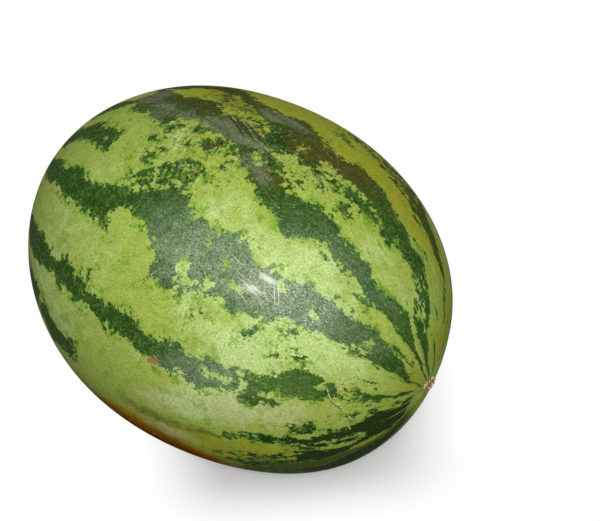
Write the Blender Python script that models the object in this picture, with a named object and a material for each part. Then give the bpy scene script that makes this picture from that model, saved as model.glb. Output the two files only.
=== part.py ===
"""A whole striped watermelon lying on its side, in metres, +Z up.

The long axis runs along X, with the end that held the stalk at +X. The fruit
rests on a small flat at its underside, and the origin is on that flat, below
the middle of the fruit's box.

A place on the skin is given by two angles: tilt is counted from the stalk end,
and turn goes round the long axis, from the top (0) towards -Y (90).
"""

import math
from collections import namedtuple

import bmesh
import bpy
from mathutils import Vector

# Driving dimensions.
LENGTH = 0.310
DIAMETER = 0.250
FOOT_DEPTH = 0.0024  # how far up the round underside the resting flat lies

# The mesh: faces round the long axis, faces from end to end, and how much closer
# together the rings lie at the two ends than on average (0 even, 1 all there).
FACES_ROUND = 84
FACES_ALONG = 58
END_CROWDING = 0.78

# The fruit grew unevenly: broad swellings (height over 0) and flats (under 0).
Unevenness = namedtuple("Unevenness", "tilt turn reach height")
UNEVENNESSES = (
    Unevenness(tilt=98, turn=-51, reach=20, height=-0.0013),
    Unevenness(tilt=49, turn=-64, reach=24, height=0.0011),
    Unevenness(tilt=12, turn=-105, reach=16, height=-0.0017),
    Unevenness(tilt=37, turn=124, reach=22, height=0.0036),
    Unevenness(tilt=81, turn=110, reach=24, height=-0.0015),
    Unevenness(tilt=140, turn=60, reach=26, height=-0.0014),
    Unevenness(tilt=128, turn=-140, reach=30, height=0.0016),
)

# Three seed chambers round the core give the cross-section three faint lobes.
LOBES = 3
LOBE_HEIGHT = 0.0005
LOBE_TURN = 20

# Where the stalk tore off: a corky crater with a raised rim.
STALK_RIM_RADIUS = 0.0052
STALK_RIM_WIDTH = 0.0019
STALK_RIM_HEIGHT = 0.0018
STALK_PIT_RADIUS = 0.0030
STALK_PIT_DEPTH = 0.0016

# A scrap of the torn stalk beside the crater: how far out, round where, how wide, how high.
SCRAP_DISTANCE = 0.0105
SCRAP_TURN = 48
SCRAP_RADIUS = 0.0026
SCRAP_HEIGHT = 0.0014

# Where the flower fell off: a small button in a shallow dimple.
BLOSSOM_DIMPLE_RADIUS = 0.0140
BLOSSOM_DIMPLE_DEPTH = 0.0022
BLOSSOM_BUTTON_RADIUS = 0.0042
BLOSSOM_BUTTON_HEIGHT = 0.0012

RIND_GREEN = (0.28, 0.40, 0.11, 1.0)
RIND_ROUGHNESS = 0.42
CORK_TAN = (0.55, 0.36, 0.20, 1.0)
CORK_ROUGHNESS = 0.85
CRATER_CORK_RADIUS = 0.0070  # the cork covers this much round the middle of the stalk end
SCRAP_CORK_RADIUS = 0.0026  # and this much round the middle of the scrap


def direction(tilt, turn):
    """The unit vector at this tilt from +X and this turn round X."""
    across = math.sin(tilt)
    return Vector((math.cos(tilt), -across * math.sin(turn), across * math.cos(turn)))


def bell(distance, reach):
    """1 at no distance, falling smoothly to nothing a few reaches away."""
    return math.exp(-((distance / reach) ** 2))


def swell(towards, tilt, turn):
    """How far the skin stands out from the plain ellipsoid, along its normal."""
    height = LOBE_HEIGHT * math.sin(tilt) ** 2 * math.cos(LOBES * (turn - math.radians(LOBE_TURN)))
    for place in UNEVENNESSES:
        centre = direction(math.radians(place.tilt), math.radians(place.turn))
        height += place.height * bell(towards.angle(centre), math.radians(place.reach))
    return height


def from_axis(point):
    """How far a point is from the long axis."""
    return math.hypot(point.y, point.z)


def from_scrap(point):
    """How far a point is from the line along X through the scrap."""
    turn = math.radians(SCRAP_TURN)
    return math.hypot(
        point.y + SCRAP_DISTANCE * math.sin(turn),
        point.z - SCRAP_DISTANCE * math.cos(turn),
    )


def stalk_relief(point):
    """Height along +X of the torn stalk's crater and scrap over this place of the stalk end."""
    rim = STALK_RIM_HEIGHT * bell(from_axis(point) - STALK_RIM_RADIUS, STALK_RIM_WIDTH)
    pit = STALK_PIT_DEPTH * bell(from_axis(point), STALK_PIT_RADIUS)
    return rim - pit + SCRAP_HEIGHT * bell(from_scrap(point), SCRAP_RADIUS)


def blossom_relief(point):
    """Height along -X of the button and the dimple round it over this place of the blossom end."""
    button = BLOSSOM_BUTTON_HEIGHT * bell(from_axis(point), BLOSSOM_BUTTON_RADIUS)
    return button - BLOSSOM_DIMPLE_DEPTH * bell(from_axis(point), BLOSSOM_DIMPLE_RADIUS)


def skin_point(tilt, turn):
    """A point of the skin, measured from the middle of the ellipsoid."""
    towards = direction(tilt, turn)
    half = Vector((LENGTH / 2, DIAMETER / 2, DIAMETER / 2))
    point = towards * half
    normal = Vector(tuple(t / h for t, h in zip(towards, half))).normalized()
    point += normal * swell(towards, tilt, turn)
    if point.x > 0:
        point.x += stalk_relief(point)
    else:
        point.x -= blossom_relief(point)
    return point


def crowded(share):
    """Moves a ring, given by its share of the way from end to end, towards the nearer end."""
    return share - END_CROWDING * math.sin(2 * math.pi * share) / (2 * math.pi)


def shape_skin(mesh):
    """Turns a unit sphere with its poles on Z into the fruit, its long axis on X."""
    for vertex in mesh.verts:
        share = math.acos(max(-1.0, min(1.0, vertex.co.z))) / math.pi
        turn = math.atan2(vertex.co.y, vertex.co.x)
        vertex.co = skin_point(math.pi * crowded(share), turn)


def finish_faces(mesh):
    """Shades the skin smooth and gives what is left of the stalk its cork."""
    for face in mesh.faces:
        face.smooth = True
        middle = face.calc_center_median()
        in_crater = from_axis(middle) < CRATER_CORK_RADIUS
        on_scrap = from_scrap(middle) < SCRAP_CORK_RADIUS
        face.material_index = int(middle.x > 0 and (in_crater or on_scrap))


def flatten_foot(mesh):
    """Presses the lowest skin up to one level, the flat that the fruit rests on."""
    level = min(vertex.co.z for vertex in mesh.verts) + FOOT_DEPTH
    for vertex in mesh.verts:
        vertex.co.z = max(vertex.co.z, level)


def stand_on_origin(mesh):
    """Puts the foot at height 0 and the middle of the box over the origin."""
    lowest = Vector(tuple(min(v.co[axis] for v in mesh.verts) for axis in range(3)))
    highest = Vector(tuple(max(v.co[axis] for v in mesh.verts) for axis in range(3)))
    middle = (lowest + highest) / 2
    bmesh.ops.translate(mesh, verts=mesh.verts, vec=(-middle.x, -middle.y, -lowest.z))


def principled(name, colour, roughness):
    material = bpy.data.materials.new(name)
    material.use_nodes = True
    shader = material.node_tree.nodes["Principled BSDF"]
    shader.inputs["Base Color"].default_value = colour
    shader.inputs["Roughness"].default_value = roughness
    shader.inputs["Metallic"].default_value = 0.0
    material.diffuse_color = colour
    return material


def make_watermelon():
    """The one piece: skin, torn stalk, blossom end and resting flat."""
    mesh = bmesh.new()
    bmesh.ops.create_uvsphere(mesh, u_segments=FACES_ROUND, v_segments=FACES_ALONG, radius=1)
    shape_skin(mesh)
    finish_faces(mesh)
    flatten_foot(mesh)
    stand_on_origin(mesh)
    bmesh.ops.recalc_face_normals(mesh, faces=mesh.faces)
    data = bpy.data.meshes.new("watermelon")
    mesh.to_mesh(data)
    mesh.free()
    data.materials.append(principled("rind", RIND_GREEN, RIND_ROUGHNESS))
    data.materials.append(principled("cork", CORK_TAN, CORK_ROUGHNESS))
    return bpy.data.objects.new("watermelon", data)


def main():
    for leftover in list(bpy.data.objects):
        bpy.data.objects.remove(leftover, do_unlink=True)
    collection = bpy.data.collections.new("watermelon")
    bpy.context.scene.collection.children.link(collection)
    collection.objects.link(make_watermelon())


main()
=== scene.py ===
"""The looks of a whole striped watermelon lying on its side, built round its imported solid.

A place on the skin is given by two angles in degrees: tilt is counted from the stalk end at +X, and
turn goes round the long axis, from the top (0) towards -Y (90). Lengths are in metres. Depths in the
pattern are in flow millimetres, which are true where the fruit is widest and shrink with the
pattern towards its two ends.
"""

import math
import random

import bmesh
import bpy
import numpy as np
from bpy.props import FloatProperty, FloatVectorProperty, PointerProperty
from bpy.types import Operator, Panel, PropertyGroup
from mathutils import Matrix, Vector, noise


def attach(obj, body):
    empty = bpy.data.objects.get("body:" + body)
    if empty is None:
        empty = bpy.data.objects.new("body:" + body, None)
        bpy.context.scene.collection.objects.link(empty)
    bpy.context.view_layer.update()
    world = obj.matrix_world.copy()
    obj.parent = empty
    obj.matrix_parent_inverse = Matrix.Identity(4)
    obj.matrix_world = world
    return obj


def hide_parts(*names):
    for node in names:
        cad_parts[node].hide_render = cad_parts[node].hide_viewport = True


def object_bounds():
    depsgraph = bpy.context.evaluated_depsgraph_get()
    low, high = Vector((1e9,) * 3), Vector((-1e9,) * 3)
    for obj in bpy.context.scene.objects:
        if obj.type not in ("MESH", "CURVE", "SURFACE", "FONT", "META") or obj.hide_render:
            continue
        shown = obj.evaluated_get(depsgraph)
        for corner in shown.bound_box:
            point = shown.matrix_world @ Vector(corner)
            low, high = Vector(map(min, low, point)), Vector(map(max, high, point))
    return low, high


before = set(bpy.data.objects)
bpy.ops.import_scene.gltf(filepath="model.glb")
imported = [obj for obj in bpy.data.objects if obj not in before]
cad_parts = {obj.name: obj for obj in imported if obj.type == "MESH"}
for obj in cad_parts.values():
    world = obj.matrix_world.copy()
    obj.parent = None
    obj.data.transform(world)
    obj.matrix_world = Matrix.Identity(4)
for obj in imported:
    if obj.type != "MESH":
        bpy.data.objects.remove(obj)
LOW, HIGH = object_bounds()

bl_info = {
    "name": "Striped Watermelon",
    "version": (1, 0, 0),
    "blender": (4, 5, 0),
    "location": "3D View > Sidebar > Watermelon",
    "description": "Builds a whole striped watermelon with its torn stalk scar, and a plain studio",
    "category": "Add Mesh",
}

# The skin's mesh: faces round and along, and how much closer the rings lie at the two ends.
FACES_ROUND = 320
FACES_ALONG = 312
END_CROWDING = 0.78
INSIDE_SHARE = 0.9996  # the skin is this share of the solid's size, so that it stays inside its box
BOX_MARGIN = 0.00005  # and the cork stays this far inside its end

# The shape that the solid has too: tilt, turn, reach in degrees and height of each broad unevenness.
UNEVENNESSES = (
    (98, -51, 20, -0.0013), (49, -64, 24, 0.0011), (12, -105, 16, -0.0017), (37, 124, 22, 0.0036),
    (81, 110, 24, -0.0015), (140, 60, 26, -0.0014), (128, -140, 30, 0.0016),
)
LOBES, LOBE_HEIGHT, LOBE_TURN = 3, 0.0005, 20
RIM_RADIUS, RIM_WIDTH, RIM_HEIGHT = 0.0052, 0.0019, 0.0018
PIT_RADIUS, PIT_DEPTH = 0.0030, 0.0016
SCRAP_DISTANCE, SCRAP_TURN, SCRAP_RADIUS, SCRAP_HEIGHT = 0.0105, 48, 0.0026, 0.0014
DIMPLE_RADIUS, DIMPLE_DEPTH = 0.0140, 0.0022
BUTTON_RADIUS, BUTTON_HEIGHT = 0.0042, 0.0012
FOOT_DEPTH = 0.0024

# What only the looks have.
SKIN_SHARE = 0.35  # how much of that relief the skin itself has, under the cork that stands on it
RIB_HEIGHT = 0.00035  # the fine ribs that fan out from beside the stalk
FAN_OFF, FAN_TURN, FAN_REACH = 2.9, 55, 11  # the pattern runs together this far beside the end, in degrees
CORK_TURN, CORK_DISTANCE, CORK_SINK = 53, 0.0024, 0.0003  # middle of the torn stalk's cork
CORK_LONG_TURN, CORK_LEAN = 28, 9  # the way in which the cork ring is longest, and leans over
KNOB_TURN, KNOB_DISTANCE, KNOB_SINK = 46, 0.0088, 0.0005  # the cork on the scrap, from there
FIBRE_SINK, LONG_FIBRE_OFF = 0.0014, 0.003  # where the strands of the torn stalk are rooted
# The strands that stick out: turn, how far they lean along X, and length.
LONG_FIBRES = ((-100, 0.3, 0.0030), (-118, 0.1, 0.0022), (150, 0.5, 0.0024), (120, 0.6, 0.0018))
# How far the cork's colours reach on the skin under it, and how far outwards the scrap's lie.
CORK_STAIN, HOLLOW_STAIN, SCRAP_STAIN, BUTTON_STAIN = 0.006, 0.0042, 0.0032, 0.0044
SCRAP_STAIN_OFF = 0.0012

# Flow millimetres to one degree, round the fruit and along it, and the deepest that the pattern goes.
MM_ROUND, MM_ALONG = 2.18, 2.5
DEEPEST = 12.0
FLOW_EVEN, FLOW_SQUEEZE = 0.8, 0.22  # how evenly the flow runs along, and how it draws in at the ends

# The dark stripes on the side that faces -Y and up. Each strand is a list of stations, from the stalk
# end on: tilt, first turn and last turn, and where the green is thin and broken also its depth.
STRANDS = (
    ((19, -41, -37, 1), (24, -42, -38, 2), (28, -45, -41, 0), (33, -47, -42, 2), (38, -47, -41),
     (44, -50, -41), (48, -51, -41), (52, -54, -40, 3), (56, -55, -40.5, 1.5), (62, -54, -41, 1),
     (74, -50, -43, 0), (80, -48, -43, -2)),
    ((11, 3, 10), (16, -2, 6), (20, -5, 5), (24, -12, 4), (28, -20, 1, 3), (32, -22, -7, 2),
     (36, -25, -14.4, 0.5), (40, -27, -15.4), (44, -24, -16), (48, -27, -13), (53, -27, -17.4),
     (60, -29, -18.6), (66, -30.2, -20), (72, -25, -12), (78, -27, -13), (84, -31.4, -8.6), (88, -29, -11),
     (92, -29, -20), (98, -31, -24), (104, -36, -29), (112, -40, -31)),
    ((45, -14.5, -12, 1), (48, -18.5, -14, 3), (50, -17, -13), (56, -17, -13.8), (62, -17, -13, 2),
     (68, -16, -14, 0)),
    ((26, -3, 3), (29.5, -4, -1, 2)),
    ((11, 17, 18), (14, 14, 18), (18, 12, 15), (24, 9, 14), (30, 1, 14), (34, 3, 13), (38, 3, 12),
     (40, 5, 12.4), (42, 5, 13), (46, 3, 11), (50, 0, 9), (58, 0, 7), (62, -3, 6), (66, -3, 11.2),
     (68, -2, 12.8), (70, -0.6, 11), (72, -1.4, 8), (76, -2, 9), (80, -8, 5.4), (84, -10, 1.8),
     (87, -10, -0.5), (90, -11, -4.5), (93, -13, -5), (97, -15, -5.5), (100, -16, -7), (104, -19.5, -7.5),
     (108, -20, -6), (110, -20, -2), (113, -19, -2.5), (118, -22, -6), (126, -28, -8)),
    ((11, 35, 38), (16, 34, 39), (19, 30, 37), (23, 24, 35), (30, 22.6, 33.8), (34, 22.2, 34), (38, 19.6, 33),
     (42, 20, 33), (46, 20.4, 32), (54, 20, 32), (58, 20, 33), (62, 22, 36), (66, 22, 36), (70, 23, 38),
     (74, 18.2, 36), (78, 18.8, 38), (81, 21, 40), (86, 20, 41), (90, 18, 40), (92.4, 14.4, 35),
     (94.4, 13.2, 31), (99, 18, 28), (103, 20, 27), (108, 22, 30)),
    ((18, 22, 24), (22, 21, 23), (28, 20, 21, 1)),
    ((12, 48.2, 51), (16, 47.6, 54.6), (18, 48.6, 55), (20, 51, 55.5), (24, 50.5, 55), (28, 52, 58, 2),
     (32, 50, 58, 1), (36, 49, 57, 0), (39, 50, 55, 1), (42, 48, 58), (46, 46, 58), (50, 46, 59),
     (54, 50, 57), (57, 52, 65), (60, 55.2, 65), (64, 54.8, 62), (67, 54.5, 62.5), (72, 54.8, 65),
     (76, 55, 63), (80, 55, 63.5), (86, 56, 62), (92, 52, 61), (100, 55, 60), (108, 52, 60)),
    ((10, 56, 72), (13, 58, 84), (16, 66, 90), (20, 64, 92), (24, 65, 92), (27, 69, 83), (30, 72, 82),
     (36, 75, 83), (40, 78, 84), (44, 79, 84), (50, 79, 83), (58, 77.6, 83), (61, 79.4, 83, 1),
     (64, 80.4, 83.5, -2)),
    ((12, 80, 94), (18, 82, 96), (24, 84, 92), (28, 89, 94), (33, 91, 98), (38, 90, 99), (42, 88, 99),
     (46, 92, 100, 2), (52, 92, 103, 1), (58, 91, 104, 0), (66, 94, 103, -2)),
    ((26, 86, 90, 1), (30, 85, 88, 1), (34, 83.5, 88), (38, 83.5, 87), (42, 83.5, 90, 2), (45, 86, 90.6, 1),
     (48, 87, 90, -2)),
    ((10, 94, 114), (16, 98, 119), (22, 104, 121), (30, 101, 121), (36, 104, 121), (46, 108, 122, 2),
     (56, 108, 120, 1), (72, 108, 116, -3)),
    ((95, 4.6, 7.4), (97.2, 6, 9), (99.4, 8.4, 11), (102.2, 11, 14), (105, 14.8, 17.5), (108, 18, 20.5)),
    ((93, 14, 18, 0), (97, 13, 17, 1), (101, 14.5, 18, 1), (104, 17, 20, 0)),
    ((4, -34, -22), (8, -24, -17), (12, -20, -15, 2), (16, -17, -14, 1)),
    ((4, -4, 4), (7, -1, 6), (12, 3, 9)),
    ((4, 12, 18), (8, 14, 18), (12, 17, 18)),
    ((4, -62, -52, 1), (8, -56, -50, 2), (13, -52, -48, 1), (20, -50, -47, 0)),
    ((3, 30, 44, 1), (7, 34, 42, 2), (12, 35, 38)),
)

# Spots off the stripes (dark) and islands in them (light): tilt, turn, half length, half width.
DARK_SPOTS = (
    (18, 29.5, 1.6, 2), (17.5, 60, 1.2, 2.6), (31.5, 65.4, 1, 2), (45, 13, 2.5, 1.6), (52, 9.5, 3, 0.8),
    (56, 36.2, 1.2, 1.4), (64.2, 42.4, 1.6, 2.2), (57, 45, 0.6, 0.5), (75.8, 42.4, 1.2, 1),
    (78.4, 54.6, 1.6, 1.6), (98.2, 11.4, 1.9, 2.4), (94.6, 14.8, 1.3, 1.8), (100.6, -5, 2.6, 2.6),
    (52, 42, 1.4, 1.5), (69.2, -9.8, 2.1, 1.9), (93.6, 11.8, 1.3, 1.5), (75.2, -3.4, 2.2, 2),
    (46, 18.5, 1.8, 0.9), (54.5, 61.5, 2.8, 2), (30.2, 43.8, 1.2, 0.5), (26, 63, 1.2, 2.5),
    (44.5, 73.6, 3.4, 2.8), (38.5, 75, 1.4, 1.6), (51, -14.5, 3, 2), (61.4, -7.8, 2, 2.6),
    (94, -3.4, 1.8, 1.8), (94.8, 0.4, 1.2, 1.2), (96.6, -1.2, 1.6, 2.6), (89.2, 1.6, 0.8, 1.6),
    (89.6, -2, 0.8, 1.4), (95, 8, 1.3, 2), (95.4, 4.4, 0.6, 1), (99.7, 2.4, 0.8, 1.2),
    (103.3, -3.6, 0.9, 0.7), (105.2, -3, 1.4, 0.8), (104.8, 7, 0.8, 0.9), (106.4, 9.8, 2.2, 1.3),
    (107.6, -1, 0.8, 1.2), (92.4, 7.6, 1, 0.8), (98, -17.6, 1.2, 1), (92.4, -17, 0.8, 1.6),
    (96.4, -21, 0.8, 1.4), (90, -14.6, 1.6, 1.8), (103, -23, 1, 1.2), (106, -26, 0.8, 1), (76, -38, 1.8, 2),
    (49, -38, 1.4, 1.8), (53, -38, 1, 1.2), (40, -32, 1.2, 1), (45, -28, 1, 1), (24, -23.5, 0.8, 1.4),
    (107, 12, 2, 1.2), (21, -38, 1.2, 2), (109.6, 4, 0.8, 2),
)
LIGHT_SPOTS = (
    (36.7, 26, 0.8, 1), (38, 30.6, 1.8, 1.6), (53.2, 27.2, 0.5, 0.6), (62.3, 24.3, 0.8, 1.4),
    (82.4, 36.2, 0.9, 1.2), (84.6, 33.4, 1.4, 2.4), (65.5, 37.5, 2.4, 1.2), (71.6, 32, 1, 1),
    (77.4, 34.6, 1.4, 2), (22.8, -3.5, 0.9, 1.3), (27.5, -7, 1.6, 3), (71.5, -16, 1.6, 2.2),
    (88.5, -16, 0.9, 1.4), (101, -22, 2.2, 1.8), (76, 27, 0.7, 1.5), (43.5, 51, 0.7, 1), (66, 58.5, 1, 1.2),
    (62, 60, 0.6, 1.6), (46.6, -16.4, 1.8, 1.5), (60, 7.5, 1, 0.8), (82, 22, 0.8, 1.4), (38, 33, 0.8, 0.8),
    (25.5, 97, 4.6, 4.6), (28, 85.5, 1.2, 1), (56.4, 59.8, 0.9, 1.4), (92.6, 34.6, 1.8, 2.2),
    (82.6, -4.2, 0.9, 0.9), (70.2, 59.4, 1, 1), (85.8, -4.6, 0.6, 0.7), (79, -17, 0.7, 0.9),
)

# Soft patches of a tint: tilt, turn, reach along, reach round, and strength where it isn't 1.
PATCHES = {
    # pale: paler ground; the patches round the front middle are partly painted sheen, a whitish pale green
    # where the key light is mirrored.
    "pale": (
        (56, 32, 16, 22), (72, 64, 14, 12, 0.6), (34, 2, 14, 14, 0.4), (34, 40, 12, 12, 0.35),
        (120, 60, 30, 60, 0.5), (90, 200, 60, 40, 0.5), (30, -14, 6, 8, 0.6), (36, -56, 24, 8, 0.5),
        (56, 68, 14, 8, 0.3), (51, -6, 9, 6, 0.4), (82, 35, 7, 7, 0.7), (102, 3, 6, 6, 0.3),
        (84, 9, 5, 7, 0.2), (73, 18, 8, 4, 0.4), (60, 12, 7, 6, 0.35), (79, 12, 6, 5, 0.3),
        (67, 47, 4.5, 3.6, 0.45), (77, 46, 5, 4, 0.35), (63, 51, 4, 3.6, 0.6), (85.6, 17, 3, 3, 0.5),
        (73, 75.5, 6, 5, 0.4),
    ),
    "cream": (
        (54, 67, 14, 9, 0.85), (30, 48, 10, 8, 0.4), (102, 1, 4, 5, 0.5), (108, -2, 6, 10, 0.4),
        (16, 10, 8, 20, 0.5), (60, 12, 20, 10, 0.3), (72, 71, 10, 6, 0.5), (81, 77, 6, 4, 0.75),
        (64, 75, 5, 4, 0.5), (77, 91, 8, 5),
    ),
    "olive": (
        (30, -50, 34, 16, 0.5), (62, -36, 26, 14, 0.8), (95, -32, 22, 22), (14, 35, 10, 180, 0.6),
        (38, 66, 14, 9, 0.3), (79, 67, 7, 7, 0.5), (97, 4, 9, 9, 0.45), (56, 90, 16, 8), (78, 94, 16, 9),
        (102, -24, 12, 12), (30, 100, 20, 14, 0.5),
    ),
    "belly": (
        (95, 135, 34, 34, 1.3), (84, 107, 18, 11.5, 0.95), (108, -40, 10, 18, 0.5), (118, -38, 8, 7, 0.3),
    ),
    # soil: dark brown over the orange patch low on the side, partly stains and partly painted shade.
    "soil": ((95, 122, 30, 17, 1.1), (80, 105, 16, 8, 0.4)),
    # wax: a thin coat of wax on the stripes, with painted sheen where the key light is mirrored at the front
    # middle.
    "wax": (
        (62, 26, 22, 15), (88, 30, 14, 14, 0.5), (56, 5, 18, 8, 0.35), (66, 58, 8, 9, 0.6),
        (76, 60, 8, 8, 0.5), (34, 26, 5, 7, 0.3), (36, 6, 7, 5, 0.2), (36, -14, 8, 7, 0.3),
        (48, 55, 8, 6, 0.15), (80, 81, 10, 5, 0.8),
    ),
    # dusk: painted shade, dull dark ground low on the stalk side.
    "dusk": (
        (24, 112, 26, 14, 0.9), (12, 90, 8, 16, 0.4), (40, 116, 26, 12, 0.8), (29, 80, 7, 6, 0.5),
        (70, 83.4, 10, 3.2, 0.45), (84, 85, 12, 4.5, 0.5), (38, 102, 14, 6, 0.6), (52, 102, 12, 10, 0.6),
        (96, -20, 7, 7, 0.3), (104, -25, 9, 8, 0.5),
    ),
    "moss": (
        (48, -47, 18, 10), (66, -46, 18, 12, 0.9), (92, -26, 14, 10, 0.8), (120, -20, 10, 14, 0.9),
        (24, -42, 10, 8, 0.6), (95, -2, 3, 4), (103, -15, 7, 5, 0.6), (54, -23, 10, 6, 0.5),
    ),
    # deep: darkest stripes; on the lower side by the stalk this is partly painted shade.
    "deep": (
        (105, -18, 6, 6), (85, -16, 6, 6, 0.6), (15, 18, 7, 16, 0.5), (26, 100, 26, 26), (40, 80, 20, 8, 0.7),
        (20, 70, 10, 14, 0.9), (56, 98, 14, 10, 0.6),
    ),
    "brown": (
        (70, -22, 10, 9, 0.9), (66, -30, 10, 8, 0.7), (80, 0, 7, 6, 0.6), (80, -20, 6, 8, 0.8),
        (96, -30, 12, 8, 0.6), (108, -28, 10, 22, 0.6), (76, 24, 5, 4, 0.5), (74, -6, 5, 4, 0.7),
    ),
    "mottle": (
        (98, 17, 8, 6, 0.7), (94, 8, 5, 7, 0.3), (90, -20, 8, 9, 0.8), (96, -19, 7, 5, 0.8),
        (104, -24, 6, 6, 0.6), (34, 85, 6, 5, 0.8), (52, 6, 8, 3, 0.35), (74, -20, 7, 9, 0.6),
        (76, -7, 6, 7, 0.9), (106, -14, 8, 7, 0.5), (32, 54, 7, 7, 0.5), (28, -8, 8, 12, 0.4),
        (86, 58, 8, 12, 0.5), (78, 4, 8, 6, 0.5), (46, -54, 12, 8, 0.6), (62, -47, 12, 8, 0.9),
    ),
    # bloom: grey waxy bloom on the upper side, partly a painted reflection of the lamps there.
    "bloom": (
        (94.2, -9, 6, 3.4, 1.5), (87.5, -8.4, 5, 1.8, 1.2), (84, -2, 4, 2.4, 1.1), (101, -9, 4, 2.6, 0.7),
        (107, -9, 3, 3, 0.8), (114, -8, 3.6, 5, 1.2), (87, -25.6, 7, 2.8, 1.1), (91, -24, 3, 3, 1.1),
        (94, -13.6, 4, 2.6, 0.9), (80, 1, 3, 3, 0.7), (123, -18, 6, 9),
    ),
    "rust": (
        (70, -16, 10, 10), (40, 67, 5, 5), (35, 65, 5, 5, 0.9), (37, 59, 4, 4, 0.9), (74, 20, 4, 6, 0.8),
        (60, -6, 8, 6, 0.4), (106, 10, 8, 30, 0.7), (92, 104, 34, 14),
    ),
    "fresh": ((52, 55, 12, 8, 0.8), (33, 9, 8, 10, 0.4)),
    "plain": (
        (62.4, 51.6, 2.6, 2.6), (51.5, 17.6, 2.6, 2.8), (37.4, 43, 3, 2.6), (32.8, 19, 2.2, 2),
        (32, 42, 3, 3, 0.8), (38.4, 31, 2.2, 2.2), (67.5, 47, 3, 3, 0.5), (52, 2, 4, 4, 0.4),
        (59, 12, 5, 4, 0.6),
    ),
    "weather": (
        (100, -3, 14, 20, 1.1), (80, -16, 10, 9), (90, 8, 6, 8, 0.5), (72, -30, 12, 8, 0.4),
        (72, -14, 8, 8, 0.8),
    ),
    "calm": ((100, 9, 7, 7, 0.9), (50, 80, 20, 6, 0.3)),
    # sheen: where the painted glitter of the highlight shows.
    "sheen": ((63, 27, 10, 8), (54, 27, 8, 6)),
    # Painted highlight: near white smears where the key light is mirrored in the wax.
    "painted_highlight": ((66, 25, 2.6, 1, 0.9), (68.4, 29.9, 2.6, 1.1, 0.9), (65.5, 27.5, 3, 3, 0.25)),
}

# A dry brown scab, as overlapping spots: tilt, turn, half length, half width.
SCAB = ((83.3, 63.1, 1.1, 1.15), (82, 62.2, 1.1, 1.15))

# Fine scratches: width, and the tilt and turn of each of their points.
CORK_SCRATCHES = (
    (0.0014, ((38.2, 46.2), (38.3, 49), (38.2, 51.5), (38.4, 54.6))),
    (0.001, ((40.2, 45.4), (38.9, 47.2), (38.2, 48.8))), (0.001, ((36.6, 46.6), (37.6, 47.4), (38.2, 48.4))),
    (0.001, ((42.9, 48.8), (41.2, 53), (40, 56), (38.4, 58))),
    (0.0011, ((38.6, 57.6), (36.8, 59.2), (34.8, 62.5))), (0.001, ((34.4, 63), (32.8, 66.5), (31.3, 69.4))),
    (0.001, ((38.9, 62.8), (37.6, 59.8), (36.4, 57.2))), (0.0009, ((40.6, 60.4), (38.8, 59.4), (37.4, 58))),
    (0.0009, ((35.8, 67), (34.4, 69.4), (33, 72))), (0.0009, ((32.6, 72.8), (31.8, 75), (31.3, 77))),
    (0.0011, ((88.4, 36.2), (89.7, 39.2), (91, 42.4), (92.4, 45))),
)
CREASES = (
    (0.0008, ((41, 54.2), (39.4, 57.8), (37, 60.2), (34.6, 64))),
    (0.0008, ((33.8, 63.6), (32, 66.4), (30.4, 70))),
    (0.0009, ((88.2, 35.2), (89.4, 38.2), (90.8, 41.4), (92, 44))),
    (0.0009, ((89, 38), (90.2, 40.8), (91.4, 43.8))),
    (0.0042, ((88, -9.4), (91.4, -11.6), (94.6, -13.8), (97.6, -16))),
    (0.0016, ((89.8, -8.2), (92.4, -10.2), (95, -12.2))), (0.0032, ((91.6, -10), (95, -12.6), (98.8, -14.6))),
    (0.0032, ((84, -9.6), (87, -11), (90, -12.8), (94.4, -15.4))),
    (0.0012, ((80, -7.4), (83, -7.8), (86, -8.4))), (0.0024, ((109.4, -11), (109.8, -6), (110, -1.4))),
    (0.0018, ((111.2, -9.6), (111.2, -6), (110.8, -3))),
    (0.0009, ((107.2, -13), (106.2, -9.6), (105.2, -6.6))),
    (0.0009, ((104.4, -13.4), (103.6, -10.6), (102.4, -8.2))),
)
# The scratches in the wax are painted highlight: near white streaks where the key light is mirrored in them.
WAX_SCRATCH_HIGHLIGHTS = (
    (0.0008, ((65.1, 24), (63.4, 27.8), (61.7, 31.6))), (0.0008, ((64.3, 23.3), (62.6, 27.2), (60.9, 31.1))),
    (0.0005, ((76.4, 23.8), (74.2, 24.7), (72.1, 25.3))), (0.0005, ((71.9, 31.4), (69.2, 33), (66.7, 34.3))),
    (0.0011, ((69, 24.4), (66.6, 24.9), (64.2, 25.3))), (0.001, ((71, 28.8), (68.6, 29.9), (66, 31))),
    (0.0008, ((70.4, 27.7), (67.8, 29), (65.8, 30))), (0.0003, ((74, 27), (70, 28.4))),
    (0.0003, ((66.4, 28.8), (63, 30.6))), (0.0003, ((65.6, 27.6), (62.6, 29.4))),
)

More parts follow.
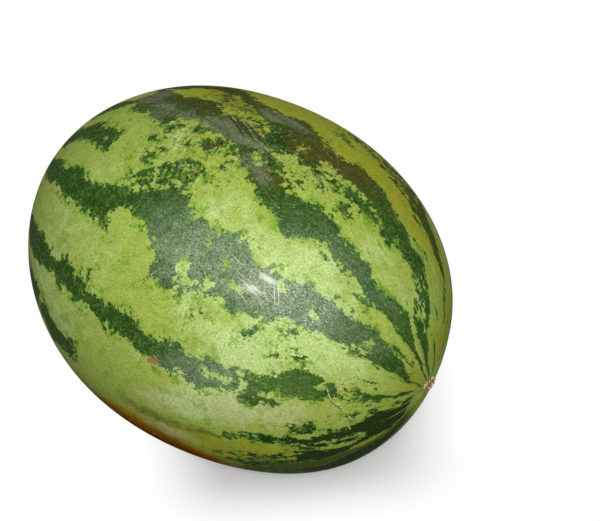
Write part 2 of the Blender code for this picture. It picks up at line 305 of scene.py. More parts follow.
# The fruit's colours: what each is of, and its screen values.
COLOURS = {
    "ground": ("Light green between the stripes", 168, 188, 86),
    # The palest green is partly painted sheen on the light ground at the front middle.
    "pale": ("Palest green of the light ground", 194, 219, 138),
    "lush": ("Fuller green of the veins and blotches in the light ground", 128, 168, 50),
    "cream": ("Creamier blotches of the light ground", 204, 204, 146),
    "olive": ("Yellower ground of the upper side and the ends", 172, 175, 52),
    "belly": ("Orange yellow of the patch that lay on the soil", 160, 106, 16),
    # Dark brown low on the side: partly stains, partly painted shade.
    "soil": ("Dark brown of the stained skin low on the side", 88, 50, 6),
    "fringe": ("Middle green where a stripe is thin", 98, 134, 56),
    "stripe": ("Dark green of the stripes", 48, 82, 28),
    "stripe_light": ("Lighter green flecks in the stripes", 98, 130, 62),
    # Partly painted shade: the stripes are darkest on the lower side by the stalk.
    "deep": ("Darkest green of the stripes, by the stalk on the lower side", 36, 54, 14),
    # Wax on the stripes, and painted sheen: a whitish grey veil over the stripes at the front middle.
    "wax": ("Stripes under a thin coat of wax", 141, 163, 127),
    # Painted shade on the light ground low on the stalk side.
    "dusk": ("Dull dark ground low on the stalk side", 84, 94, 32),
    "moss": ("Dull olive of the stripes on the upper side", 76, 86, 24),
    "brown": ("Brown of the weathered stripes", 90, 80, 26),
    "scab": ("Dry brown scab on the side", 164, 118, 86),
    "crease": ("Dark brown green of the creases in the skin", 38, 44, 14),
    "rust": ("Rusty dots of the weathered skin", 112, 76, 28),
    "scar_pale": ("Straw of the healed scratches", 240, 226, 168),
    "scar_dark": ("Brown of the healed scratches", 150, 124, 66),
    # Grey waxy bloom, partly a painted reflection on the upper side.
    "bloom": ("Grey waxy bloom on the upper side", 124, 130, 100),
    "rib": ("Pale fine ribs that run out from the stalk", 150, 168, 82),
    # Painted highlight: the near white where the key light is mirrored in the scratched wax.
    "glint": ("Near white of the scuffs in the wax", 238, 244, 218),
    # Whitish flecks of wax, and the painted glitter of the highlight.
    "fleck": ("Whitish flecks of wax", 216, 226, 204),
    "cork": ("Tan of the torn stalk", 246, 214, 160),
    "cork_brown": ("Browner parts of the torn stalk", 206, 152, 98),
    "cork_dark": ("Brown of the hollow in the torn stalk", 66, 40, 10),
    "fibre": ("Straw of the strands in the torn stalk", 240, 232, 190),
}

# Blotches of dry strands and scars: their size and roughness, and where the noise changes the colour.
STRAW_BLOTCHES = (0.001, 0.6, 0.5, 0.7)
SCAR_BLOTCHES = (0.0016, 0.65, 0.42, 0.60)

# The studio. The floor shows the shadow where two strips cross: way across, middle, half width, fade.
WHITE = (1.0, 1.0, 1.0)
FRUIT_MIDDLE = Vector((0.0, 0.0, 0.1226))
SHADOW_STRIPS = (((0.777, 0.629, 0.0), 0.041, 0.056, 0.072), ((0.629, -0.777, 0.0), 0.030, 0.064, 0.048))


# ---- what a user would change

def linear(red, green, blue):
    """A colour named by its screen values, 0 to 255, as the linear values that a shader takes."""
    shares = [value / 255 for value in (red, green, blue)]
    return tuple(s / 12.92 if s <= 0.04045 else ((s + 0.055) / 1.055) ** 2.4 for s in shares)


def colour(name, description, *screen):
    return FloatVectorProperty(
        name=name.replace("_", " ").title(), description=description, default=linear(*screen),
        subtype="COLOR", size=3, min=0.0, max=1.0,
    )


def number(name, description, default, **limits):
    return FloatProperty(name=name, description=description, default=default, **limits)


def length(name, description, default):
    return number(name, description, default, unit="LENGTH", min=0.0)


class MelonSizes(PropertyGroup):
    """The fruit's driving sizes."""

    length: length("Length", "Length of the plain oval, from end to end", 0.310)
    diameter: length("Diameter", "Diameter of the plain oval", 0.250)
    vein_size: length("Vein Size", "Size of the fine veins in the light green", 0.0035)
    edge_size: length("Edge Size", "Size of the lobes along a stripe's edge", 0.008)
    grit_size: length("Grit Size", "Size of the finest unevenness of the skin", 0.0009)


class MelonColours(PropertyGroup):
    """The fruit's colours."""

    __annotations__ = {name: colour(name, *values) for name, values in COLOURS.items()}


class StudioSettings(PropertyGroup):
    """Camera, lamps and world. Angles are in degrees."""

    azimuth: number("Azimuth", "Turn of the camera round the fruit", 39.09)
    elevation: number("Elevation", "Height angle of the camera", 55.17)
    aim_azimuth: number("Aim Azimuth", "Turn of the way it looks", 33.79)
    aim_elevation: number("Aim Elevation", "Height angle it looks along", 54.59)
    distance: length("Distance", "From the camera to the middle of the fruit", 0.8)
    lens: number("Lens", "Focal length", 69.37, unit="CAMERA")
    key_power: number("Key Power", "Watts of the softbox by the camera", 3.2)
    top_power: number("Top Power", "Watts of the softbox above", 4.8)
    back_power: number("Back Power", "Watts of the softbox behind", 0.8)
    world_level: number("World Level", "Even light from all round", 0.22)


# ---- shape of the skin

def directions(tilt, turn):
    """Unit vectors at these tilts from +X and turns round X, in radians."""
    across = np.sin(tilt)
    return np.stack([np.cos(tilt), -across * np.sin(turn), across * np.cos(turn)], axis=-1)


def around(turn, radius):
    """A step from the long axis towards this turn, in degrees."""
    return Vector(directions(math.pi / 2, math.radians(turn)) * (0.0, radius, radius))


def bell(distance, reach):
    """1 at no distance, falling smoothly to nothing a few reaches away."""
    return np.exp(-((distance / reach) ** 2))


def swell(towards, tilt, turn):
    """How far the skin stands out from the plain oval, along its normal."""
    height = LOBE_HEIGHT * np.sin(tilt) ** 2 * np.cos(LOBES * (turn - math.radians(LOBE_TURN)))
    for tilt_there, turn_there, reach, rise in UNEVENNESSES:
        centre = directions(math.radians(tilt_there), math.radians(turn_there))
        angle = np.arccos(np.clip(towards @ centre, -1.0, 1.0))
        height += rise * bell(angle, math.radians(reach))
    return height


def from_line(points, turn=0, distance=0):
    """How far points are from a line along X at this turn and distance from the long axis."""
    line = around(turn, distance)
    return np.hypot(points[..., 1] - line.y, points[..., 2] - line.z)


def end_relief(points, cork_share):
    """Shift along X of the torn stalk's crater and scrap, and of the button where the flower was."""
    out = from_line(points)
    rim = cork_share * RIM_HEIGHT * bell(out - RIM_RADIUS, RIM_WIDTH)
    pit = PIT_DEPTH * bell(out, PIT_RADIUS)
    scrap = cork_share * SCRAP_HEIGHT * bell(from_line(points, SCRAP_TURN, SCRAP_DISTANCE), SCRAP_RADIUS)
    button = BUTTON_HEIGHT * bell(out, BUTTON_RADIUS)
    dimple = DIMPLE_DEPTH * bell(out, DIMPLE_RADIUS)
    return np.where(points[..., 0] > 0, rim - pit + scrap, dimple - button)


def skin_points(tilt, turn, sizes, cork_share=1.0):
    """Points of the skin, in radians of tilt and turn, measured from the middle of the plain oval."""
    towards = directions(tilt, turn)
    half = np.array([sizes.length, sizes.diameter, sizes.diameter]) / 2
    normals = towards / half
    normals /= np.linalg.norm(normals, axis=-1, keepdims=True)
    points = towards * half + normals * swell(towards, tilt, turn)[..., None]
    points[..., 0] += end_relief(points, cork_share)
    return points


def plain_box(sizes):
    """Lowest and highest corner of the plain solid, measured from the middle of its oval."""
    tilt, turn = np.meshgrid(np.linspace(0, math.pi, 361), np.linspace(-math.pi, math.pi, 721))
    points = skin_points(tilt, turn, sizes).reshape(-1, 3)
    lowest, highest = points.min(axis=0), points.max(axis=0)
    lowest[2] += FOOT_DEPTH
    return lowest, highest


def stand(points, sizes):
    """Centres the fruit on the solid's box, keeps it a hair inside and flattens its foot."""
    lowest, highest = plain_box(sizes)
    middle = (lowest + highest) / 2
    middle[2] = lowest[2]
    solid_middle = np.array(((LOW.x + HIGH.x) / 2, (LOW.y + HIGH.y) / 2, LOW.z))
    solid_size = np.array(HIGH - LOW)
    stood = (points - middle) * INSIDE_SHARE * solid_size / (highest - lowest) + solid_middle
    stood[..., 2] = np.maximum(stood[..., 2], LOW.z)
    return stood


def on_skin(tilt, turn, sizes):
    """Places on the finished skin at these angles in degrees."""
    tilt, turn = np.radians(tilt), np.radians(turn)
    return stand(skin_points(tilt, turn, sizes, SKIN_SHARE), sizes)


# ---- the pattern

def turned(degrees):
    """An angle brought between -180 and 180."""
    return (degrees + 180.0) % 360.0 - 180.0


def strand_depth(tilt, turn, stations):
    """How deep inside a strand each place is, in flow millimetres, and below 0 outside it."""
    at, first, last, deep = np.array([(*s, DEEPEST)[:4] for s in stations]).T
    half = np.interp(tilt, at, (last - first) / 2)
    aside = np.abs(turned(turn - np.interp(tilt, at, (first + last) / 2)))
    across = (half - aside) * MM_ROUND
    along = np.minimum(tilt - at[0], at[-1] - tilt) * MM_ALONG
    return np.minimum(np.minimum(across, along), np.interp(tilt, at, deep))


def spot_depth(tilt, turn, spot):
    """How deep inside an oval spot each place is, in flow millimetres."""
    spot_tilt, spot_turn, half_along, half_round = spot
    away = np.hypot((tilt - spot_tilt) / half_along, turned(turn - spot_turn) / half_round)
    return (1 - away) * min(half_along * MM_ALONG, half_round * MM_ROUND)


def grown_strand(between, middle, start, end):
    """Stations of a stripe that nobody planned: a wandering band of changing width."""
    stations = []
    drift = 0.0
    tilt = start
    while tilt < end:
        drift += between(-1.8, 1.8)
        narrow = min(1.0, (tilt - 4) / 24, (176 - tilt) / 24)
        half = max(0.8, between(2.6, 7.2) * narrow)
        deep = DEEPEST if between(0, 1) < 0.8 else between(0, 2.5)
        stations.append((tilt, middle + drift - half, middle + drift + half, deep))
        tilt += between(3.0, 6.5)
    return stations


def hidden_strands():
    """The stripes of the far side and of the blossom end, grown like the ones in front."""
    between = random.Random(21).uniform
    strands = []
    for middle in (130, 152, 174, 197, 219, 242, 264, 287):
        strands.append(grown_strand(between, middle, between(10, 16), between(167, 173)))
    for middle in (-52, -34, -12, 8, 30, 57, 80, 102):
        start = 119 if middle in (-12, 8) else 106
        strands.append(grown_strand(between, middle, start, between(166, 173)))
    return strands


def stripe_depth(tilt, turn):
    """Depth in the dark pattern: over 0 in a stripe, under 0 in the light ground."""
    depth = np.full(tilt.shape, -DEEPEST)
    for stations in (*STRANDS, *hidden_strands()):
        depth = np.maximum(depth, strand_depth(tilt, turn, stations))
    for spot in DARK_SPOTS:
        depth = np.maximum(depth, spot_depth(tilt, turn, spot))
    for spot in LIGHT_SPOTS:
        depth = np.minimum(depth, -spot_depth(tilt, turn, spot))
    return depth


def patch_strength(tilt, turn, patches):
    """How strongly a tint covers each place, from 0 to 1."""
    total = np.zeros(tilt.shape)
    for there, turn_there, along, across, strength in ((*patch, 1)[:5] for patch in patches):
        total += strength * bell(tilt - there, along) * bell(turned(turn - turn_there), across)
    return np.clip(total, 0.0, 1.0)


def flow_places(tilt, turn, sizes):
    """Places on a straight tube as wide as the fruit, squeezed along its ends.

    Patterns read there narrow towards the ends and run long there.
    """
    radius = sizes.diameter / 2
    tilt, turn = np.radians(tilt), np.radians(turn)
    along = (sizes.length + sizes.diameter) / 4 * (FLOW_EVEN * tilt - FLOW_SQUEEZE * np.sin(2 * tilt))
    return np.stack([along, radius * np.cos(turn), radius * np.sin(turn)], axis=-1)


def pattern_place(tilt, turn):
    """Tilt and turn in the pattern, which runs together a little beside the end of the long axis."""
    shift = math.sin(math.radians(FAN_OFF)) * bell(np.degrees(tilt), FAN_REACH)[:, None]
    moved = directions(tilt, turn) - shift * np.array(around(FAN_TURN, 1.0))
    across = np.hypot(moved[:, 1], moved[:, 2])
    return np.degrees(np.arctan2(across, moved[:, 0])), np.degrees(np.arctan2(-moved[:, 1], moved[:, 2]))


def ribs(tilt, turn):
    """How strongly one of the fine ribs that fan out from the stalk runs over each place."""
    between = random.Random(4).uniform
    rib = np.zeros(tilt.shape)
    there = -180.0
    while there < 172:
        there += between(4, 11)
        low_side = bell(turned(there - 85), 50)
        reach = between(8, 14) + low_side * between(3, 13)
        rib = np.maximum(rib, bell(turned(turn - there), between(1.0, 2.2)) * bell(tilt, reach))
    return rib


# ---- meshes

def crowded(share):
    """Moves a ring, given by its share of the way from end to end, towards the nearer end."""
    return share - END_CROWDING * np.sin(2 * math.pi * share) / (2 * math.pi)


def store(data, name, values):
    """Keeps a number, or a vector, for each vertex, where the material can read it."""
    kind, field = ("FLOAT", "value") if values.ndim == 1 else ("FLOAT_VECTOR", "vector")
    data.attributes.new(name, kind, "POINT").data.foreach_set(field, values.ravel())


def to_data(mesh, name):
    """Turns a bmesh into mesh data and frees it."""
    data = bpy.data.meshes.new(name)
    mesh.to_mesh(data)
    mesh.free()
    return data


def finish_mesh(mesh, name):
    for face in mesh.faces:
        face.smooth = True
    bmesh.ops.remove_doubles(mesh, verts=mesh.verts, dist=0.000001)
    bmesh.ops.recalc_face_normals(mesh, faces=mesh.faces)
    return to_data(mesh, name)


def make_skin(sizes):
    """The skin as a mesh, with what its material reads for each vertex."""
    mesh = bmesh.new()
    bmesh.ops.create_uvsphere(mesh, u_segments=FACES_ROUND, v_segments=FACES_ALONG, radius=1)
    ball = np.array([vertex.co for vertex in mesh.verts])
    tilt = math.pi * crowded(np.arccos(np.clip(ball[:, 2], -1.0, 1.0)) / math.pi)
    turn = np.arctan2(ball[:, 1], ball[:, 0])
    points = skin_points(tilt, turn, sizes, SKIN_SHARE)
    pattern = pattern_place(tilt, turn)
    rib = ribs(*pattern)
    stood = stand(points + directions(tilt, turn) * RIB_HEIGHT * rib[:, None], sizes)
    for vertex, point in zip(mesh.verts, stood):
        vertex.co = point
    data = finish_mesh(mesh, "melon_skin")

    at_stalk = points[:, 0] > 0
    from_cork = from_line(points, CORK_TURN, CORK_DISTANCE)
    from_scrap = from_line(points, SCRAP_TURN, SCRAP_DISTANCE + SCRAP_STAIN_OFF)
    torn = np.maximum(bell(from_cork, CORK_STAIN), 0.9 * bell(from_scrap, SCRAP_STAIN))
    button = bell(from_line(points), BUTTON_STAIN)
    store(data, "cork", np.where(at_stalk, torn, 0.9 * button))
    store(data, "hollow", bell(from_cork, HOLLOW_STAIN) * at_stalk)
    store(data, "rib", rib)
    store(data, "flow", flow_places(*pattern, sizes))
    store(data, "stripe", stripe_depth(*pattern))
    store(data, "scab", np.maximum(*(spot_depth(*pattern, spot) for spot in SCAB)))
    for name, patches in PATCHES.items():
        store(data, name, patch_strength(*pattern, patches))
    return data


def rough_up(mesh, size, height, seed):
    """Moves each vertex along its normal by noise, which each seed reads somewhere else."""
    offset = Vector((seed * 7.3, seed * 3.1, seed * 5.7))
    mesh.normal_update()
    moves = [v.normal * height * noise.fractal(v.co / size + offset, 0.5, 2.0, 4) for v in mesh.verts]
    for vertex, move in zip(mesh.verts, moves):
        vertex.co += move


def rotate(mesh, verts, angle, axis, middle=(0, 0, 0)):
    bmesh.ops.rotate(mesh, verts=verts, cent=middle, matrix=Matrix.Rotation(angle, 3, axis))


def add_ring(mesh, radius, thickness):
    """A closed ring round X in an empty mesh, flattened a little along X."""
    verts = bmesh.ops.create_circle(mesh, segments=12, radius=thickness)["verts"]
    rotate(mesh, verts, math.radians(90), "X")
    bmesh.ops.scale(mesh, verts=verts, vec=(0.8, 1.0, 1.0))
    bmesh.ops.translate(mesh, verts=verts, vec=(0, 0, radius))
    bmesh.ops.spin(
        mesh, geom=mesh.verts[:] + mesh.edges[:], cent=(0, 0, 0), axis=(1, 0, 0), angle=2 * math.pi,
        steps=56, use_merge=True,
    )
    bmesh.ops.subdivide_edges(mesh, edges=mesh.edges[:], cuts=1, use_grid_fill=True)


def add_lump(mesh, middle, size, between):
    """A squashed, turned ball of cork."""
    verts = bmesh.ops.create_icosphere(mesh, subdivisions=2, radius=size)["verts"]
    bmesh.ops.scale(mesh, verts=verts, vec=[between(0.6, 1.25) for _ in range(3)])
    angle = between(0, math.pi)
    rotate(mesh, verts, angle, Vector([between(-1, 1) for _ in range(3)]))
    bmesh.ops.translate(mesh, verts=verts, vec=middle)


def cork_knob(middle, radius, thickness, long, lumps, seed):
    """A lumpy oval ring of torn cork."""
    between = random.Random(seed).uniform
    mesh = bmesh.new()
    add_ring(mesh, radius, thickness)
    rough_up(mesh, 0.0015, thickness * 0.9, seed)
    for _ in range(lumps):
        place = around(between(0, 360), radius + thickness * between(-0.7, 1.1))
        place.x += thickness * between(-0.3, 0.7)
        add_lump(mesh, place, thickness * between(0.3, 0.75), between)
    bmesh.ops.scale(mesh, verts=mesh.verts, vec=(1.0, 1.0 / long, long))
    rotate(mesh, mesh.verts, math.radians(CORK_LONG_TURN), "X")
    bmesh.ops.translate(mesh, verts=mesh.verts, vec=middle)
    return mesh


def cork_middle():
    """The middle of the torn stalk's cork. The plain oval ends a rim's height inside the box."""
    end = Vector((HIGH.x - RIM_HEIGHT - CORK_SINK, 0.0, (LOW.z + HIGH.z) / 2))
    return end + around(CORK_TURN, CORK_DISTANCE)


def keep_inside(mesh):
    """Presses what stands past the stalk end of the solid's box back into it."""
    for vertex in mesh.verts:
        vertex.co.x = min(vertex.co.x, HIGH.x - BOX_MARGIN)


def join(mesh, other):
    """Adds another bmesh to this one and frees it."""
    data = to_data(other, "joined")
    mesh.from_mesh(data)
    bpy.data.meshes.remove(data)


def make_scar():
    """The torn stalk's cork: a lumpy oval ring round the crater, and a smaller knob on the scrap."""
    end = cork_middle()
    mesh = cork_knob(end, radius=0.0038, thickness=0.0013, long=1.18, lumps=54, seed=11)
    rotate(mesh, mesh.verts, math.radians(CORK_LEAN), around(CORK_LONG_TURN + 90, 1.0), end)
    beside = end + around(KNOB_TURN, KNOB_DISTANCE) - Vector((KNOB_SINK, 0, 0))
    join(mesh, cork_knob(beside, radius=0.0015, thickness=0.0011, long=1.1, lumps=20, seed=3))
    keep_inside(mesh)
    return finish_mesh(mesh, "stalk_cork")


def add_fibre(mesh, foot, lean, length, thickness):
    """A torn strand of the stalk: a thin stub with a ragged point."""
    verts = bmesh.ops.create_cone(
        mesh, cap_ends=True, segments=7, radius1=thickness, radius2=thickness * 0.45, depth=length,
    )["verts"]
    bmesh.ops.rotate(mesh, verts=verts, matrix=lean.to_track_quat("Z", "Y").to_matrix())
    bmesh.ops.translate(mesh, verts=verts, vec=foot + lean * length / 2)


def make_fibres():
    """Pale strands torn off short in the hollow of the crater, and a few that stick out past it."""
    between = random.Random(5).uniform
    mesh = bmesh.new()
    end = cork_middle()
    for index in range(24):
        turn = index * 360 / 12 + between(-14, 14)
        radius = between(0.0006, 0.0014) if index % 2 else between(0.0018, 0.0032)
        foot = end + around(turn, radius)
        foot.x -= FIBRE_SINK
        lean = Vector((1.0, between(-0.6, 0.6), between(-0.6, 0.6))).normalized()
        add_fibre(mesh, foot, lean, between(0.0012, 0.0028), between(0.0002, 0.0004))
    for turn, rise, reach in LONG_FIBRES:
        lean = (around(turn, 1.0) + Vector((rise, 0, 0))).normalized()
        add_fibre(mesh, end + around(turn, LONG_FIBRE_OFF), lean, reach, 0.0004)
    bmesh.ops.subdivide_edges(mesh, edges=mesh.edges[:], cuts=1)
    rough_up(mesh, 0.0006, 0.0002, 2)
    keep_inside(mesh)
    return finish_mesh(mesh, "stalk_fibres")


def unit(vectors):
    return vectors / np.linalg.norm(vectors, axis=1, keepdims=True)


def make_scratch(width, stations, sizes, between):
    """A thin raised scar that follows the skin: a rod with pointed ends, half sunk in."""
    steps = 12 * (len(stations) - 1)
    mesh = bmesh.new()
    bmesh.ops.create_cone(mesh, cap_ends=True, segments=6, radius1=1.0, radius2=1.0, depth=1.0)
    rails = [edge for edge in mesh.edges if abs(edge.verts[0].co.z - edge.verts[1].co.z) > 0.5]
    bmesh.ops.subdivide_edges(mesh, edges=rails, cuts=steps - 1)
    at = np.linspace(0, len(stations) - 1, steps + 1)
    tilt, turn = (np.interp(at, range(len(stations)), values) for values in np.array(stations).T)
    turn = turn + [between(-0.12, 0.12) for _ in at]
    middle = on_skin(tilt, turn, sizes)
    round_it = on_skin(tilt, turn + 0.1, sizes) - middle
    along_it = on_skin(tilt + 0.1, turn, sizes) - middle
    out = unit(np.cross(round_it, along_it))
    side = unit(np.cross(out, np.gradient(middle, axis=0)))
    taper = np.sin(math.pi * np.linspace(0, 1, steps + 1).clip(0.05, 0.95))
    broad = [width / 2 * between(0.6, 1.0) * share for share in taper]
    for vertex in mesh.verts:
        step = round((vertex.co.z + 0.5) * steps)
        x, y = vertex.co.x * broad[step], vertex.co.y * broad[step] * 0.6
        vertex.co = Vector(middle[step] + side[step] * x + out[step] * y)
    return mesh


def make_scratches(name, scratches, sizes):
    between = random.Random(8).uniform
    mesh = bmesh.new()
    for width, stations in scratches:
        join(mesh, make_scratch(width, stations, sizes, between))
    return finish_mesh(mesh, name)


# ---- materials

def in_use(sockets, name=None):
    """The first of a node's sockets that is in use, and that has this name if one is given."""
    return next(s for s in sockets if s.enabled and name in (None, s.name))


class Value:
    """What a node gives out, which can be added to and multiplied."""

    def __init__(self, recipe, socket):
        self.recipe, self.socket = recipe, socket

    def __add__(self, other):
        return self.recipe.maths("ADD", self, other)

    def __sub__(self, number):
        return self + -number

    def __mul__(self, other):
        return self.recipe.maths("MULTIPLY", self, other)


class Recipe:
    """Lays out the nodes of a material or world.

    It takes Values, numbers, vectors, colours and the names of the fruit's colours.
    """

    def __init__(self, name, kind="materials"):
        self.made = getattr(bpy.data, kind).new(name)
        self.made.use_nodes = True
        self.tree = self.made.node_tree

    def fill(self, socket, value):
        if isinstance(value, str):
            value = getattr(bpy.context.scene.melon_colours, value)
        if isinstance(value, Value):
            self.tree.links.new(value.socket, socket)
        elif socket.type == "RGBA" and len(value) == 3:
            socket.default_value = (*value, 1.0)
        else:
            socket.default_value = value

    def node(self, kind, *values, out=None, **named):
        """Adds a node, makes its settings, fills its inputs in order or by name, and gives an output."""
        node = self.tree.nodes.new("ShaderNode" + kind)
        for name, value in named.items():
            if hasattr(node, name):
                setattr(node, name, value)
            else:
                self.fill(in_use(node.inputs, name), value)
        for socket, value in zip([s for s in node.inputs if s.enabled], values):
            self.fill(socket, value)
        return Value(self, in_use(node.outputs, out))

    def shine(self, **values):
        """Sets the main shader's own sockets, named with _ for a space."""
        for name, value in values.items():
            socket = name.replace("_", " ").title().replace("Ior", "IOR")
            self.fill(self.tree.nodes["Principled BSDF"].inputs[socket], value)

    def attribute(self, name, out="Fac"):
        return self.node("Attribute", attribute_name=name, out=out)

    def place(self):
        return self.node("TexCoord", out="Object")

    def maths(self, operation, *values):
        return self.node("Math", *values, operation=operation)

    def vector(self, operation, *values):
        return self.node("VectorMath", *values, operation=operation)

    def noise(self, place, size, detail=2.0, rough=0.5, spread=None):
        """Noise with features about this size: from 0 to 1, or this much spread about 0."""
        raw = self.node("TexNoise", place, Scale=1 / size, Detail=detail, Roughness=rough)
        return raw if spread is None else self.maths("MULTIPLY_ADD", raw, spread, -spread / 2)

    def long(self, place, share):
        """The place squeezed along the fruit, so that a pattern read there runs long."""
        return self.vector("MULTIPLY", place, (share, 1.0, 1.0))

    def step(self, value, low, high, start=0.0, end=1.0):
        """start below low, end above high, and a smooth climb between."""
        return self.node("MapRange", value, low, high, start, end, interpolation_type="SMOOTHSTEP")

    def mix(self, share, first, second, blend="MIX"):
        return self.node("Mix", data_type="RGBA", blend_type=blend, Factor=share, A=first, B=second)

    def tone(self, colour, share):
        """The colour made lighter or darker."""
        return self.mix(1.0, colour, self.node("CombineColor", share, share, share), "MULTIPLY")

    def coats(self, skin, *coats):
        """The skin under each coat in turn, given by how strong it is and its colour."""
        for share, over in coats:
            skin = self.mix(share, skin, over)
        return skin

    def patch(self, name, place, size, spread=0.8, low=0.25, high=0.75):
        """How strongly a tint shows: its soft patches with their edges broken up."""
        return self.step(self.attribute(name) + self.noise(place, size, 4.0, 0.6, spread), low, high)

    def freckles(self, place, size, amount, reach):
        """Small spots scattered over a share of the cells of a random net."""
        cell = self.node("TexVoronoi", place, Scale=1 / size, out="Distance")
        tint = Value(self, cell.socket.node.outputs["Color"])
        picked = self.maths("LESS_THAN", self.node("SeparateColor", tint), amount)
        bent = cell + self.noise(place, size / 3, 3.0, 0.6, 0.7)
        return self.step(bent, reach + 0.04, reach - 0.04) * picked


def pattern_depth(r, place, flow, sizes):
    """How deep in a stripe the skin is, in flow millimetres, with the stripe's edges frayed."""
    calm = r.step(r.attribute("calm"), 0.0, 1.0, 1.0, 0.4)
    lobes = calm * r.noise(flow, sizes.edge_size, 5.0, 0.68, 24)
    teeth = r.noise(place, 0.0026, 3.0, 0.65, 13)
    stray = r.attribute("mottle") * r.noise(flow, 0.0045, 4.0, 0.65, 34)
    return r.attribute("stripe") + lobes + teeth + stray


def ground_colour(r, place, flow, deep, sizes):
    """Light ground: pale areas that are partly painted sheen at the front middle, olive areas, lusher veins,
    blotches, strips beside the stripes, and painted shade low on the stalk side.
    """
    veins = r.step(r.noise(place, sizes.vein_size, 5.0, 0.7), 0.46, 0.58)
    blotches = r.step(r.noise(flow, 0.012, 6.0, 0.68), 0.53, 0.6)
    beside = r.step(deep + r.noise(flow, 0.008, 6.0, 0.68, 44), -0.8, 0.3)
    lush = r.step(veins * 0.22 + blotches * 0.4 + beside * 0.7, 0.0, 1.0)
    dapples = r.step(r.noise(place, 0.0055, 4.0, 0.62), 0.54, 0.61) * r.attribute("weather")
    belly = r.patch("belly", place, 0.02, 0.7)
    stains = belly * r.freckles(place, 0.0026, 0.5, 0.24)
    return r.coats(
        "ground",
        # Pale patches, partly painted sheen at the front middle.
        (r.patch("pale", place, 0.012), "pale"),
        (r.patch("olive", place, 0.015), "olive"),
        (r.patch("cream", place, 0.007, 1.2) * 0.55, "cream"),
        (lush * r.step(r.attribute("plain"), 0.0, 1.0, 1.0, 0.1), "lush"),
        (dapples * 0.6, "lush"),
        (r.freckles(place, 0.0028, 0.24, 0.12) * 0.35, "fringe"),
        (belly, "belly"),
        # Stains and dark brown low on the side, partly painted shade.
        (stains * 0.55 + r.patch("soil", place, 0.004, 1.2) * 0.7, "soil"),
        # Painted shade low on the stalk side.
        (r.patch("dusk", flow, 0.008, 0.9, 0.2, 0.9), "dusk"),
    )


def stripe_colour(r, place, flow, full):
    """Dark stripes: lighter flecks, darkest by the stalk and partly painted shade on its lower side, waxed in
    the middle under painted sheen, brown on top.
    """
    flecks = r.step(r.noise(flow, 0.0032, 5.0, 0.74), 0.42, 0.72, 0.0, 0.8)
    stripe = r.coats(
        "stripe",
        (flecks, "stripe_light"),
        # Darkest stripes, partly painted shade on the lower side by the stalk.
        (r.patch("deep", place, 0.01) * 0.85, "deep"),
        (r.freckles(place, 0.0027, 0.26, 0.13) * 0.5, "wax"),
        (r.attribute("fresh") * 0.65, "stripe_light"),
    )
    worn = r.step(r.noise(flow, 0.006, 6.0, 0.72), 0.38, 0.56, 0.6, 1.0)
    return r.coats(
        r.mix(full, "fringe", stripe),
        (r.freckles(place, 0.0046, 0.22, 0.13) * 0.55, "lush"),
        (r.patch("moss", flow, 0.006, 1.2, 0.2, 0.8) * 0.75, "moss"),
        # Wax on the stripes, lightened into painted sheen at the front middle.
        (r.patch("wax", place, 0.01, 0.5, 0.1, 1.0) * worn * 0.88, "wax"),
        (r.patch("brown", flow, 0.0045, 2.0, 0.3, 0.9) * 0.65, "brown"),
    )


